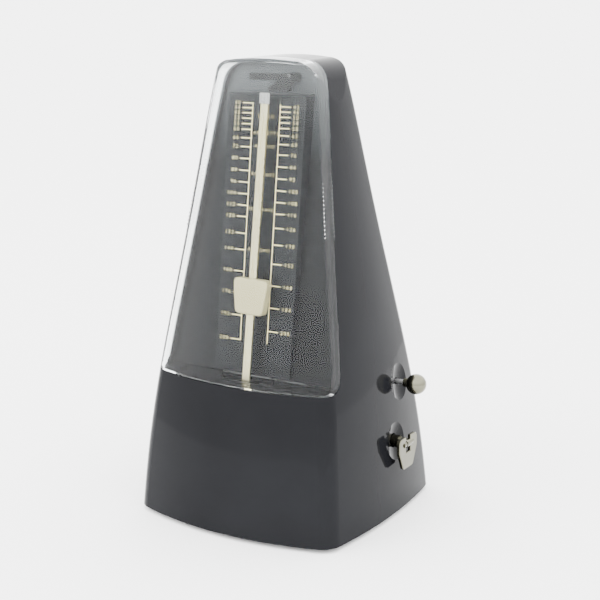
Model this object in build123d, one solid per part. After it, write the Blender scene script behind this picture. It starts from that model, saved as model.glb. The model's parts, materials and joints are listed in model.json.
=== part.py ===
from build123d import *
import os
from math import acos, atan, cos, degrees, hypot, pi, radians, sin, sqrt, tan

# Mechanical pyramid metronome. Millimetres, +Z up, front towards -Y, controls on the +X side.
# The pieces are drawn about the centre of the base, on the plane that the rubber feet stand on.
# main() then moves them together, so that the origin is in the middle of the whole outline in plan.

# ---------------------------------------------------------------- casing sizes
HEIGHT = 220.0        # table to the crown of the case
RIM_Z = 2.0           # lower rim of the case above the table
BASE_HALF_X = 55.2    # half width at the front corners, at the rim
TOP_HALF_X = 26.2     # half width at the corners, at the top
BASE_HALF_Y = 50.2    # half depth at the corners, at the rim
TOP_HALF_Y = 13.9     # half depth at the corners, at the top
FLARE_Z = 84.0        # below this height the sides curve towards vertical
FLARE_X = 0.0006      # curvature of that flare across
FLARE_Y = 0.0005      # curvature of that flare front to back
FRONT_BULGE_BASE = 9.9
FRONT_BULGE_TOP = 5.2
SIDE_BULGE_BASE = 4.7
SIDE_BULGE_TOP = 1.0
BACK_BULGE_BASE = 4.0
BACK_BULGE_TOP = 1.0
CORNER_BASE = 10.0    # vertical corner radius at the rim
CORNER_TOP = 5.4      # and at the top
TOP_R = 12.0          # radius of the shoulders in the front view
CROWN = 1.0           # rise of the top between the shoulders
WALL = 2.4            # case wall

# ---------------------------------------------------------------- front cover and recess
LEDGE_Z = 71.0        # shelf that the clear cover stands on
SEAM_DEPTH = 9.5      # cover's rear edge behind the front corner line
SEAM_R = 9.0          # rounding of the cover's lower rear corners
SEAM_GAP = 0.35       # gap all round between cover and case
COVER_WALL = 1.8
RECESS_DEPTH = 3.0    # recess wall behind the cover's rear edge
RECESS_R = 1.0        # rounding between recess wall and ledge
RIB_COUNT = 19
RIB_PITCH = 1.85
RIB_R = 0.45
RIB_BASE_Z = 141.0
RIB_LENGTH = 6.6
PAD_SIZE = (9.0, 5.0, 1.2)
PAD_IN = 8.0           # middle of a shelf pad inside the corner line of the case
PAD_Y = -35.0

# ---------------------------------------------------------------- scale plate
SCALE_HALF = 21.3
SCALE_DROP = 17.0         # top edge of the plate below the crown
SCALE_PROUD = 4.5         # plate's front face ahead of the seam plane at its top edge
SCALE_THIN = 1.6          # plate's front face ahead of the recess wall at the ledge
SCALE_SKIN = 1.6
SCALE_BOSS_R = 3.0
SCALE_SCREW_LOW = 41.0    # lower screw above the ledge
SCALE_SCREW_HIGH = 19.0   # upper screw below the plate's top edge

# ---------------------------------------------------------------- pendulum
PIVOT_Z = 50.0
ROD_OFFSET = 5.0          # rod's middle in front of the scale plate
ROD_REST = 0.9            # degrees that the parked rod stands to the right
ROD_WIDTH = 4.0
ROD_THICK = 1.2
ROD_DROP = 16.4           # rod's upper end below the crown
ROD_DOWN = 39.0
VERGE_R = 1.2
VERGE_FRONT = 3.4
VERGE_BACK = 40.5
HUB_R = 3.6
HUB_THICK = 1.3
BOB_R = 10.0
BOB_THICK = 9.0
BOB_DROP = 28.0
BOB_RIVET_R = 1.0
TIP_WIDTH = 5.6
TIP_THICK = 2.6
TIP_LENGTH = 5.0
TIP_OVER = 0.6            # cap beyond the rod's end
NOTCH_PITCH = 4.0
NOTCH_R = 0.35
WEIGHT_UP = 52.6          # bottom of the sliding weight above the pivot
WEIGHT_HALF_LOW = 7.6
WEIGHT_HALF_HIGH = 9.8
WEIGHT_TALL = 17.0
WEIGHT_FRONT = 2.6        # weight in front of the rod's middle
WEIGHT_BACK = 2.2         # weight behind the rod's middle
WEIGHT_R = 2.6
FIT = 0.05                # radial clearance of a running shaft
SLIDE = 0.15              # clearance each side of a sliding fit
PLAY = 0.35               # clearance between pieces of different bodies
SLOT_HALF = 15.0
SLOT_DEPTH = 6.0

# ---------------------------------------------------------------- catch
CATCH_DROP = 8.5          # hook's bar below the crown
CATCH_WIRE = 3.0
CATCH_BEND = 4.2
CATCH_LEFT = -7.0
CATCH_RIGHT = 15.5
CATCH_THICK = 3.0
CATCH_STEM_R = 2.6
CATCH_SCREW_R = 1.2

# ---------------------------------------------------------------- base
PLATE_Z = 2.6
PLATE_T = 2.2
FOOT_R = 5.5
FOOT_IN_X = 9.2           # foot's middle inside the corner of the rim
FOOT_IN_Y = 8.7
BASE_SCREW_X = 30.0
BASE_BOSS_R = 3.0
BASE_BOSS_TOP = 18.0
BASE_SCREW_R = 1.2
SCREW_GAP = 0.05

# ---------------------------------------------------------------- movement frame
FRAME_HALF = 22.0         # inner faces of the two movement plates
FRAME_T = 1.5
FRAME_FRONT = -22.0
FRAME_BACK = 31.0
FRAME_TOP = 74.0
PILLAR_R = 2.5
PILLAR_SCREW_R = 1.0
PILLARS = ((-17.0, 12.0), (27.0, 12.0), (-17.0, 67.0), (27.0, 69.0))
LUG_SIZE = 8.0
LUG_T = 1.5
LUG_YS = (-9.0, 19.0)
LUG_SCREW_R = 1.0

# ---------------------------------------------------------------- going train
MODULE = 0.6
GREAT_TEETH = 60
PINION_TEETH = 10
MIDDLE_TEETH = 42
ESCAPE_PINION_TEETH = 8
WIND_Y = 10.0             # winding arbor and key
WIND_Z = 36.5
WIND_R = 2.5
ARBOR_R = 1.0
GREAT_X = -8.5
GREAT_T = 1.5
MIDDLE_X = 12.4
MIDDLE_T = 1.2
CROWN_DISTANCE = 24.5     # crown wheel's middle behind the pivot, along the verge
CROWN_R = 10.0
CROWN_WALL = 1.1
CROWN_TIP_X = 4.2
CROWN_DEPTH = 5.0
CROWN_TEETH = 15
PALLET_LENGTH = 4.1
PALLET_T = 0.8
PALLET_W = 3.2
BRIDGE_X = 16.5
BRIDGE_T = 1.5
RATCHET_X = -10.6
RATCHET_T = 1.4
RATCHET_R = 8.0
RATCHET_TEETH = 18
CLICK_RADIUS = 13.0       # click pivot from the winding axis
CLICK_ANGLE = 60.0
SPRING_X = -21.0
SPRING_W = 9.0
SPRING_T = 0.5
SPRING_TURNS = 8
SPRING_IN = 5.0
SPRING_OUT = 15.5
CAM_X = -4.2
CAM_T = 1.1
CAM_STEP = 1.5
CAM_R = 5.6
CAM_LOBES = (2, 3, 4, 6)

# ---------------------------------------------------------------- bell and bell pull
PULL_Y = 20.5
PULL_Z = 63.2
PULL_R = 1.25
PULL_TRAVEL = 6.0
KNOB_R = 5.0
KNOB_OUT = 9.4            # ball's middle outside the side panel
DISH_R = 9.3
DISH_DEPTH = 1.8
DISH_PAD_R = 11.0
DISH_PAD_T = 3.8
BELL_R = 17.0
BELL_H = 11.0
BELL_T = 0.9
BELL_Y = 2.0
BELL_RIM_Z = 80.0
HAMMER_X = -5.9
HAMMER_W = 1.3
HAMMER_R = 2.7
HAMMER_BALL_R = 2.6
FINGER_GAP = 0.7

# ---------------------------------------------------------------- winding key
KEY_OUT = 6.0             # middle of the wing outside the side panel
STEM_WALL = 0.5           # key stem's sleeve round the winding arbor
STEM_IN = 18.0
HEAD_HALF = 1.9
PIN_R = 0.7
KNUCKLE_R = 1.5           # wing's knuckles round the cross pin
WING_T = 1.6
WING_TOP_HALF = 9.0
WING_LOW_HALF = 4.8
WING_UP = 3.6
WING_DOWN = 12.4
WINDOW_HALF = 2.3
WINDOW_UP = 4.6
WINDOW_DOWN = 4.4
HOLE_GAP = 0.5            # gap round a shaft where it leaves the case


def ramp(z, base, top):
    return base + (top - base) * z / HEIGHT


def flare(z):
    return max(0.0, FLARE_Z - z) ** 2


def slope_x():
    return (BASE_HALF_X - TOP_HALF_X + FLARE_X * FLARE_Z ** 2) / HEIGHT


def slope_y():
    return (BASE_HALF_Y - TOP_HALF_Y + FLARE_Y * FLARE_Z ** 2) / HEIGHT


def half_x(z):
    return TOP_HALF_X + (HEIGHT - z) * slope_x() - FLARE_X * flare(z)


def half_y(z):
    return TOP_HALF_Y + (HEIGHT - z) * slope_y() - FLARE_Y * flare(z)


def side_x(y, z):
    """Outer face of the side panel at a point."""
    bulge = ramp(z, SIDE_BULGE_BASE, SIDE_BULGE_TOP)
    return half_x(z) + bulge * (1 - (y / half_y(z)) ** 2)


def seam_y(z):
    """Cover's rear edge, which stays straight where the case below it flares."""
    return -(TOP_HALF_Y + (HEIGHT - z) * slope_y()) + SEAM_DEPTH


def scale_top():
    return HEIGHT - SCALE_DROP


def catch_z():
    return HEIGHT - CATCH_DROP


def scale_lean():
    """Angle, in radians, that the scale plate and the pendulum lean back."""
    y_top = seam_y(scale_top()) - SCALE_PROUD
    y_low = seam_y(LEDGE_Z) + RECESS_DEPTH - SCALE_THIN
    return atan((y_top - y_low) / (scale_top() - LEDGE_Z))


def scale_y(z):
    """Front face of the scale plate."""
    return seam_y(scale_top()) - SCALE_PROUD - (scale_top() - z) * tan(scale_lean())


def scale_screw_zs():
    return (LEDGE_Z + SCALE_SCREW_LOW, scale_top() - SCALE_SCREW_HIGH)


def section(z, inset):
    hx = half_x(z) - inset
    hy = half_y(z) - inset
    front = ramp(z, FRONT_BULGE_BASE, FRONT_BULGE_TOP)
    side = ramp(z, SIDE_BULGE_BASE, SIDE_BULGE_TOP)
    back = ramp(z, BACK_BULGE_BASE, BACK_BULGE_TOP)
    corners = [(-hx, -hy), (hx, -hy), (hx, hy), (-hx, hy)]
    mids = [(0, -hy - front), (hx + side, 0), (0, hy + back), (-hx - side, 0)]
    arcs = [ThreePointArc(corners[i], mids[i], corners[(i + 1) % 4]) for i in range(4)]
    face = make_face(arcs)
    face = fillet(face.vertices(), ramp(z, CORNER_BASE, CORNER_TOP) - inset)
    return Pos(0, 0, z) * face


def taper(inset):
    levels = (RIM_Z - (1.0 if inset else 0.0), 22.0, 45.0, FLARE_Z, 150.0, HEIGHT + 3.0)
    return loft([section(z, inset) for z in levels])


def top_profile(inset):
    """Front view of the case, wider than the taper below the shoulders, extruded through it."""
    angle = atan(slope_x())
    r = TOP_R - inset
    top = HEIGHT - inset
    zs = top - CROWN - r + r * sin(angle)
    xs = half_x(zs) + ramp(zs, SIDE_BULGE_BASE, SIDE_BULGE_TOP) - inset
    xc = xs - r * cos(angle)
    zc = zs - r * sin(angle)
    out = xs + zs * tan(angle + radians(4))
    mid = (angle + pi / 2) / 2
    lines = [
        Line((-out, 0), (out, 0)),
        Line((out, 0), (xs, zs)),
        ThreePointArc((xs, zs), (xc + r * cos(mid), zc + r * sin(mid)), (xc, zc + r)),
        ThreePointArc((xc, zc + r), (0, top), (-xc, zc + r)),
        ThreePointArc((-xc, zc + r), (-xc - r * cos(mid), zc + r * sin(mid)), (-xs, zs)),
        Line((-xs, zs), (-out, 0)),
    ]
    face = Plane.XZ * make_face(lines)
    return extrude(face, amount=2 * BASE_HALF_Y, both=True)


def envelope(inset):
    return taper(inset) & top_profile(inset)


def front_zone(back, lift, r):
    """Space in front of the seam plane and above the ledge."""
    z_low = LEDGE_Z + lift
    z_high = HEIGHT + 20
    z_ref = LEDGE_Z + SEAM_R
    rise = (seam_y(HEIGHT) - seam_y(z_ref)) / (HEIGHT - z_ref)
    y_low = seam_y(z_ref) + back + (z_low - z_ref) * rise
    y_high = seam_y(z_ref) + back + (z_high - z_ref) * rise
    far = -2 * BASE_HALF_Y
    pts = [(y_low, z_low), (y_high, z_high), (far, z_high), (far, z_low)]
    face = make_face(Polyline(*pts, close=True))
    corner = face.vertices().sort_by_distance((y_low, z_low))[0]
    face = fillet(corner, r)
    return extrude(Plane.YZ * face, amount=2 * BASE_HALF_X, both=True)


def disc(x0, x1, y, z, r):
    """Cylinder along X."""
    spot = Plane(origin=(x0, y, z), x_dir=(0, 1, 0), z_dir=(1, 0, 0))
    return extrude(spot * Circle(r), amount=x1 - x0)


def side_plate(x0, thick, pts):
    spot = Plane(origin=(x0, 0, 0), x_dir=(0, 1, 0), z_dir=(1, 0, 0))
    return extrude(spot * make_face(Polyline(*pts, close=True)), amount=thick)


def post(x, y, z0, z1, r):
    return Pos(x, y, z0) * extrude(Circle(r), amount=z1 - z0)


def block(x0, x1, y0, y1, z0, z1):
    mid = ((x0 + x1) / 2, (y0 + y1) / 2, (z0 + z1) / 2)
    return Pos(*mid) * Box(x1 - x0, y1 - y0, z1 - z0)


def screw(spot, shank_r, length):
    """Slotted pan-head screw: head on +z of the plane, shank below it."""
    head_r = 2 * shank_r
    head_h = 1.1 * shank_r
    head = extrude(spot * Circle(head_r), amount=head_h)
    rim = head.edges().filter_by(GeomType.CIRCLE).sort_by_distance(spot.origin + spot.z_dir * 50)[0]
    head = chamfer(rim, 0.25)
    shank = extrude(spot * Circle(shank_r), amount=-length)
    slot = extrude(spot.offset(head_h - 0.45) * Rectangle(2.2 * head_r, 0.35 * shank_r + 0.2), amount=1)
    return head + shank - slot


def side_normal(y, z):
    step = 0.5
    dy = (side_x(y + step, z) - side_x(y - step, z)) / (2 * step)
    dz = (side_x(y, z + step) - side_x(y, z - step)) / (2 * step)
    return Vector(1, -dy, -dz).normalized()


def dish(y, z):
    """Backing pad and spherical cut round a shaft that leaves the right side panel."""
    n = side_normal(y, z)
    spot = Vector(side_x(y, z), y, z)
    pad_plane = Plane(origin=spot - n * 1.0, z_dir=-n)
    pad = extrude(pad_plane * Circle(DISH_PAD_R), amount=DISH_PAD_T)
    ball_r = (DISH_R ** 2 + DISH_DEPTH ** 2) / (2 * DISH_DEPTH)
    centre = spot + n * (ball_r - DISH_DEPTH)
    return pad, Pos(centre) * Sphere(ball_r)


def base_screw_spots():
    """Bosses just inside the front and back walls."""
    z = BASE_BOSS_TOP
    reach = 1 - (BASE_SCREW_X / half_x(z)) ** 2
    front = -half_y(z) - ramp(z, FRONT_BULGE_BASE, FRONT_BULGE_TOP) * reach + WALL
    back = half_y(z) + ramp(z, BACK_BULGE_BASE, BACK_BULGE_TOP) * reach - WALL
    ys = (front + BASE_BOSS_R - 1.4, back - BASE_BOSS_R + 1.4)
    return [(x, y) for x in (-BASE_SCREW_X, BASE_SCREW_X) for y in ys]


def scale_screw_plane(z):
    """Screw seat on the inside of the recess wall, shank towards the front."""
    y = seam_y(z) + RECESS_DEPTH + WALL
    return Plane(origin=(0, y + 0.6, z), x_dir=(1, 0, 0), z_dir=(0, 1, 0))


def catch_spot():
    return Vector(CATCH_RIGHT - CATCH_BEND, seam_y(catch_z()) + RECESS_DEPTH, catch_z() - 1.0)


def case_shell():
    inner = envelope(WALL)
    cavity = inner - front_zone(RECESS_DEPTH + WALL, -WALL, SEAM_R + WALL)
    recess = inner & front_zone(RECESS_DEPTH, 0, RECESS_R)
    body = envelope(0) - front_zone(0, 0, SEAM_R) - recess - cavity
    cuts = []
    for y, z, r in ((PULL_Y, PULL_Z, PULL_R), (WIND_Y, WIND_Z, WIND_R + STEM_WALL)):
        pad, cut = dish(y, z)
        body = body + pad
        cuts += [cut, disc(side_x(y, z) - 15, side_x(y, z) + 15, y, z, r + HOLE_GAP)]
    for x, y in base_screw_spots():
        body = body + post(x, y, PLATE_Z + PLATE_T + 0.1, BASE_BOSS_TOP, BASE_BOSS_R)
        cuts.append(post(x, y, PLATE_Z, BASE_BOSS_TOP - 2, BASE_SCREW_R + SCREW_GAP))
    pad_x = half_x(LEDGE_Z) - PAD_IN
    for x in (-pad_x, pad_x):
        dx, dy, dz = PAD_SIZE
        body = body + block(x - dx / 2, x + dx / 2, PAD_Y - dy / 2, PAD_Y + dy / 2, LEDGE_Z - 1, LEDGE_Z + dz)
    rod_y = pivot().Y + (LEDGE_Z - PIVOT_Z) * tan(scale_lean())
    y0 = rod_y - SLOT_DEPTH / 2
    y1 = rod_y + SLOT_DEPTH / 2
    cuts.append(block(-SLOT_HALF, SLOT_HALF, y0, y1, LEDGE_Z - 9, LEDGE_Z + 5))
    for z in scale_screw_zs():
        cuts.append(extrude(scale_screw_plane(z) * Circle(CATCH_SCREW_R + SCREW_GAP), amount=-8))
        cuts.append(extrude(scale_screw_plane(z) * Circle(CATCH_SCREW_R * 2.2), amount=8))
    spot = catch_spot()
    hole = Plane(origin=(spot.X, spot.Y - 1, spot.Z), x_dir=(1, 0, 0), z_dir=(0, 1, 0))
    cuts.append(extrude(hole * Circle(CATCH_SCREW_R + SCREW_GAP), amount=9))
    for cut in cuts:
        body = body - cut
    return body


def front_cover():
    shell = envelope(0) & front_zone(-SEAM_GAP, SEAM_GAP, SEAM_R + 0.4)
    shell = shell - envelope(COVER_WALL)
    for i in range(RIB_COUNT):
        z = RIB_BASE_Z + i * RIB_PITCH
        y0 = seam_y(z) - SEAM_GAP
        for side in (-1, 1):
            start = Vector(side * (side_x(y0, z) - 0.1), y0, z)
            end = Vector(side * (side_x(y0 - RIB_LENGTH, z) - 0.1), y0 - RIB_LENGTH, z)
            spot = Plane(origin=start, z_dir=(end - start).normalized())
            shell = shell + extrude(spot * Circle(RIB_R), amount=(end - start).length)
    return shell


def base_plate():
    body = extrude(section(PLATE_Z, WALL + PLAY), amount=PLATE_T)
    for x, y in base_screw_spots():
        body = body - post(x, y, 0, 10, BASE_SCREW_R + SCREW_GAP)
    for spot in lug_screw_planes():
        body = body - extrude(spot * Circle(LUG_SCREW_R + SCREW_GAP), amount=-6)
    for spot in cock_screw_planes():
        body = body - extrude(spot * Circle(LUG_SCREW_R + SCREW_GAP), amount=-6)
    return body


def rubber_feet():
    feet = []
    foot_x = BASE_HALF_X - FOOT_IN_X
    foot_y = BASE_HALF_Y - FOOT_IN_Y
    for x in (-foot_x, foot_x):
        for y in (-foot_y, foot_y):
            foot = post(x, y, 0, PLATE_Z, FOOT_R)
            feet.append(fillet(foot.edges().group_by(Axis.Z)[0], 0.8))
    return feet


def base_screws():
    spots = [Plane(origin=(x, y, PLATE_Z), z_dir=(0, 0, -1)) for x, y in base_screw_spots()]
    return [screw(spot, BASE_SCREW_R, 11) for spot in spots]


# ---------------------------------------------------------------- front of the case
def scale_plate():
    z0 = LEDGE_Z + RECESS_R + 0.2
    z1 = scale_top()
    back = RECESS_DEPTH - 0.05
    outer = [(scale_y(z0), z0), (scale_y(z1), z1), (seam_y(z1) + back, z1), (seam_y(z0) + back, z0)]
    low = z0 + SCALE_SKIN
    high = z1 - SCALE_SKIN
    inner = [
        (scale_y(low) + SCALE_SKIN, low),
        (scale_y(high) + SCALE_SKIN, high),
        (seam_y(high) + 9, high),
        (seam_y(low) + 9, low),
    ]
    plate = side_plate(-SCALE_HALF, 2 * SCALE_HALF, outer)
    width = SCALE_HALF - SCALE_SKIN
    hollow = side_plate(-width, 2 * width, inner)
    for z in scale_screw_zs():
        boss = extrude(scale_screw_plane(z).offset(-WALL - 0.6) * Circle(SCALE_BOSS_R), amount=-12)
        hollow = hollow - boss
    plate = plate - hollow
    for z in scale_screw_zs():
        deep = WALL + 0.6 + (seam_y(z) + RECESS_DEPTH - scale_y(z)) - 1.0
        plate = plate - extrude(scale_screw_plane(z) * Circle(CATCH_SCREW_R + SCREW_GAP), amount=-deep)
    return plate


def scale_screws():
    out = []
    for z in scale_screw_zs():
        reach = WALL + 0.6 + (seam_y(z) + RECESS_DEPTH - scale_y(z)) - 1.4
        out.append(screw(scale_screw_plane(z), CATCH_SCREW_R, reach))
    return out


def hook_plane(y):
    return Plane(origin=(0, y, 0), x_dir=(1, 0, 0), z_dir=(0, -1, 0))


def rod_catch():
    """Hook over the parked rod: a top bar, a round head and an arm down to the rod's tip."""
    y_back = seam_y(catch_spot().Z - CATCH_STEM_R) + RECESS_DEPTH
    y_mid = scale_y(catch_z()) - ROD_OFFSET + 1.2
    y_front = y_mid - CATCH_THICK / 2
    head_x = CATCH_RIGHT - CATCH_BEND
    head_z = catch_z() + CATCH_WIRE / 2 - CATCH_BEND
    bar = block(CATCH_LEFT, head_x, y_front, y_front + CATCH_THICK, catch_z() - CATCH_WIRE / 2, catch_z() + CATCH_WIRE / 2)
    head = extrude(hook_plane(y_front + CATCH_THICK) * Pos(head_x, head_z) * Circle(CATCH_BEND), amount=CATCH_THICK)
    rest = radians(ROD_REST)
    tip_x = (rod_up() + TIP_OVER) * sin(rest) + TIP_WIDTH / 2 - 1.0
    tip_reach = hypot(rod_up() + TIP_OVER, TIP_WIDTH / 2)
    tip_z = PIVOT_Z + tip_reach * cos(scale_lean()) + TIP_THICK / 2 * sin(scale_lean()) + PLAY
    arm = make_face(Polyline(
        (head_x - 2.4, head_z + 1.0),
        (tip_x - 1.2, tip_z + 1.8),
        (tip_x - 1.2, tip_z),
        (tip_x + 1.2, tip_z),
        (head_x + 1.6, head_z - 2.4),
        close=True,
    ))
    arm = extrude(hook_plane(y_front + CATCH_THICK) * arm, amount=CATCH_THICK)
    stem_spot = hook_plane(y_back) * Pos(catch_spot().X, catch_z() - 1.0)
    stem = extrude(stem_spot * Circle(CATCH_STEM_R), amount=y_back - y_mid)
    body = bar + head + arm + stem
    return body - extrude(stem_spot * Circle(CATCH_SCREW_R + SCREW_GAP), amount=6.5)


def catch_screw():
    spot = catch_spot()
    seat = Plane(origin=(spot.X, spot.Y + WALL + 0.6, spot.Z), x_dir=(1, 0, 0), z_dir=(0, 1, 0))
    return screw(seat, CATCH_SCREW_R, WALL + 6.4)


# ---------------------------------------------------------------- pendulum
def rod_up():
    return (HEIGHT - ROD_DROP - PIVOT_Z) / cos(scale_lean())


def pivot():
    y = scale_y(PIVOT_Z) - ROD_OFFSET / cos(scale_lean())
    return Vector(0, y, PIVOT_Z)


def rod_plane():
    """x across the rod, y up the rod, z to the front, origin at the swing axis."""
    lean = scale_lean()
    rest = radians(ROD_REST)
    front = Vector(0, -cos(lean), sin(lean))
    up = Vector(0, sin(lean), cos(lean))
    across = Vector(1, 0, 0) * cos(rest) - up * sin(rest)
    return Plane(origin=pivot(), x_dir=across, z_dir=front)


def pendulum_rod():
    spot = rod_plane()
    rod = spot * Pos(0, (rod_up() - ROD_DOWN) / 2) * Rectangle(ROD_WIDTH, rod_up() + ROD_DOWN)
    rod = extrude(rod, amount=ROD_THICK / 2, both=True)
    rod = rod - extrude(spot * Circle(VERGE_R), amount=5, both=True)
    for drop in (BOB_DROP - 4, BOB_DROP + 4):
        rod = rod - extrude(spot * Pos(0, -drop) * Circle(BOB_RIVET_R), amount=5, both=True)
    count = int((rod_up() - WEIGHT_UP - 10) / NOTCH_PITCH)
    for i in range(count):
        up = WEIGHT_UP - 15 + i * NOTCH_PITCH
        rod = rod - extrude(spot * Pos(ROD_WIDTH / 2, up) * Circle(NOTCH_R), amount=5, both=True)
    return rod


def rod_hub():
    spot = rod_plane()
    hubs = []
    for z in (ROD_THICK / 2, -ROD_THICK / 2 - HUB_THICK):
        ring = extrude(spot.offset(z) * Circle(HUB_R), amount=HUB_THICK)
        hubs.append(ring - extrude(spot.offset(z - 1) * Circle(VERGE_R), amount=HUB_THICK + 2))
    return hubs


def rod_tip():
    spot = rod_plane()
    cap = spot * Pos(0, rod_up() - TIP_LENGTH / 2 + TIP_OVER) * Rectangle(TIP_WIDTH, TIP_LENGTH)
    cap = extrude(cap, amount=TIP_THICK / 2, both=True)
    cap = fillet(cap.edges().filter_by(lambda e: abs(e.length - TIP_LENGTH) < 0.01), 0.6)
    rod = spot * Pos(0, rod_up() - 10) * Rectangle(ROD_WIDTH, 20)
    return cap - extrude(rod, amount=ROD_THICK / 2, both=True)


def lower_bob():
    spot = rod_plane()
    bob = extrude(spot * Pos(0, -BOB_DROP) * Circle(BOB_R), amount=BOB_THICK / 2, both=True)
    bob = chamfer(bob.edges().filter_by(GeomType.CIRCLE), 0.8)
    slot = spot * Pos(0, -BOB_DROP) * Rectangle(ROD_WIDTH, 4 * BOB_R)
    bob = bob - extrude(slot, amount=ROD_THICK / 2, both=True)
    for drop in (BOB_DROP - 4, BOB_DROP + 4):
        bob = bob - extrude(spot * Pos(0, -drop) * Circle(BOB_RIVET_R), amount=BOB_THICK, both=True)
    return bob


def bob_rivets():
    spot = rod_plane()
    out = []
    for drop in (BOB_DROP - 4, BOB_DROP + 4):
        pin = extrude(spot * Pos(0, -drop) * Circle(BOB_RIVET_R), amount=BOB_THICK / 2 + 0.1, both=True)
        cap = extrude(spot.offset(BOB_THICK / 2) * Pos(0, -drop) * Circle(1.8 * BOB_RIVET_R), amount=0.6)
        out.append(pin + cap)
    return out


def verge_arbor():
    spot = rod_plane().offset(VERGE_FRONT)
    return extrude(spot * Circle(VERGE_R), amount=-(VERGE_FRONT + VERGE_BACK))


def verge_point(back):
    lean = scale_lean()
    return pivot() + Vector(0, cos(lean), -sin(lean)) * back


def pallets():
    out = []
    for back, angle in ((CROWN_DISTANCE - CROWN_R, 45), (CROWN_DISTANCE + CROWN_R, -45)):
        spot = rod_plane().offset(-back - PALLET_W / 2)
        flag = Pos(PALLET_LENGTH / 2) * Rectangle(PALLET_LENGTH, PALLET_T)
        collar = Circle(VERGE_R + 1.0) + Rot(0, 0, angle) * flag
        collar = collar - Circle(VERGE_R)
        out.append(extrude(spot * collar, amount=PALLET_W))
    return out


def weight_outline():
    lo = WEIGHT_HALF_LOW
    hi = WEIGHT_HALF_HIGH
    pts = [(-lo, WEIGHT_UP), (lo, WEIGHT_UP), (hi, WEIGHT_UP + WEIGHT_TALL), (-hi, WEIGHT_UP + WEIGHT_TALL)]
    face = make_face(Polyline(*pts, close=True))
    return fillet(face.vertices(), WEIGHT_R)


def sliding_weight():
    spot = rod_plane()
    body = extrude(spot.offset(-WEIGHT_BACK) * weight_outline(), amount=WEIGHT_BACK + WEIGHT_FRONT)
    front = body.faces().sort_by_distance(spot.origin + spot.z_dir * 500)[0]
    body = fillet(front.edges(), 0.9)
    mid = WEIGHT_UP + WEIGHT_TALL / 2
    slot = spot * Pos(0, mid) * Rectangle(ROD_WIDTH + 2 * SLIDE, 2 * WEIGHT_TALL)
    body = body - extrude(slot, amount=ROD_THICK / 2 + SLIDE, both=True)
    pocket = spot.offset(-ROD_THICK / 2 - SLIDE) * Pos(0, mid) * Rectangle(3.0, 8.0)
    return body - extrude(pocket, amount=-1.0)


def weight_spring():
    """Leaf spring in the weight's pocket that grips the rod."""
    spot = rod_plane().offset(-ROD_THICK / 2 - SLIDE - 0.9)
    leaf = spot * Pos(0, WEIGHT_UP + WEIGHT_TALL / 2) * Rectangle(2.6, 7.6)
    return extrude(leaf, amount=0.4)


# ---------------------------------------------------------------- train geometry
def crown_centre():
    return verge_point(CROWN_DISTANCE)


def mesh_distance(a, b):
    return MODULE * (a + b) / 2


def middle_centre():
    """Intermediate arbor, in mesh with the great wheel and the escape pinion."""
    c = crown_centre()
    ra = mesh_distance(GREAT_TEETH, PINION_TEETH)
    rb = mesh_distance(MIDDLE_TEETH, ESCAPE_PINION_TEETH)
    dy = c.Y - WIND_Y
    dz = c.Z - WIND_Z
    d = hypot(dy, dz)
    a = (ra ** 2 - rb ** 2 + d ** 2) / (2 * d)
    h = sqrt(ra ** 2 - a ** 2)
    return Vector(0, WIND_Y + (a * dy + h * dz) / d, WIND_Z + (a * dz - h * dy) / d)


def axis_plane(x, y, z):
    """Plane across an X arbor: local x along +Y, local y along +Z."""
    return Plane(origin=(x, y, z), x_dir=(0, 1, 0), z_dir=(1, 0, 0))


def gear_face(teeth, phase, inner_r):
    """Wheel with straight-sided teeth; a tooth's middle stands at the phase angle, in radians."""
    pitch_r = MODULE * teeth / 2
    step = 2 * pi / teeth
    pts = []
    for i in range(teeth):
        mid = phase + i * step
        for r, share in ((pitch_r - 1.15 * MODULE, -0.33), (pitch_r + 0.8 * MODULE, -0.13)):
            pts.append((r * cos(mid + share * step), r * sin(mid + share * step)))
        for r, share in ((pitch_r + 0.8 * MODULE, 0.13), (pitch_r - 1.15 * MODULE, 0.33)):
            pts.append((r * cos(mid + share * step), r * sin(mid + share * step)))
    face = make_face(Polyline(*pts, close=True))
    return face - Circle(inner_r)


def line_angle(a, b):
    return atan2_yz(b.Z - a.Z, b.Y - a.Y)


def atan2_yz(dz, dy):
    turn = acos(dy / hypot(dy, dz))
    return turn if dz >= 0 else -turn


def spoked(face, rim_r, hub_r, spokes):
    """Opens a wheel between hub and rim, leaving spokes."""
    ring = Circle(rim_r) - Circle(hub_r)
    for i in range(spokes):
        ring = ring - Rot(0, 0, i * 360 / spokes) * Pos(rim_r / 2, 0) * Rectangle(rim_r, 2.4)
    return face - ring


def great_wheel():
    m = middle_centre()
    g = Vector(0, WIND_Y, WIND_Z)
    pitch_r = MODULE * GREAT_TEETH / 2
    face = gear_face(GREAT_TEETH, line_angle(g, m), WIND_R + FIT)
    face = spoked(face, pitch_r - 2.6, 8.4, 5)
    pad = Rot(0, 0, CLICK_ANGLE) * Pos(CLICK_RADIUS, 0) * Circle(3.1)
    face = face + pad
    body = extrude(axis_plane(GREAT_X, WIND_Y, WIND_Z) * face, amount=GREAT_T)
    pin = Rot(0, 0, CLICK_ANGLE) * Pos(CLICK_RADIUS, 0) * Circle(1.0)
    return body + extrude(axis_plane(GREAT_X, WIND_Y, WIND_Z) * pin, amount=-2.6)


def winding_arbor():
    body = disc(-FRAME_HALF - FRAME_T - 1.0, side_x(WIND_Y, WIND_Z) - STEM_IN + 10, WIND_Y, WIND_Z, WIND_R)
    hook = disc(SPRING_X - 0.4, SPRING_X + SPRING_W + 0.1, WIND_Y, WIND_Z, WIND_R + 1.6)
    return body + hook


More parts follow.
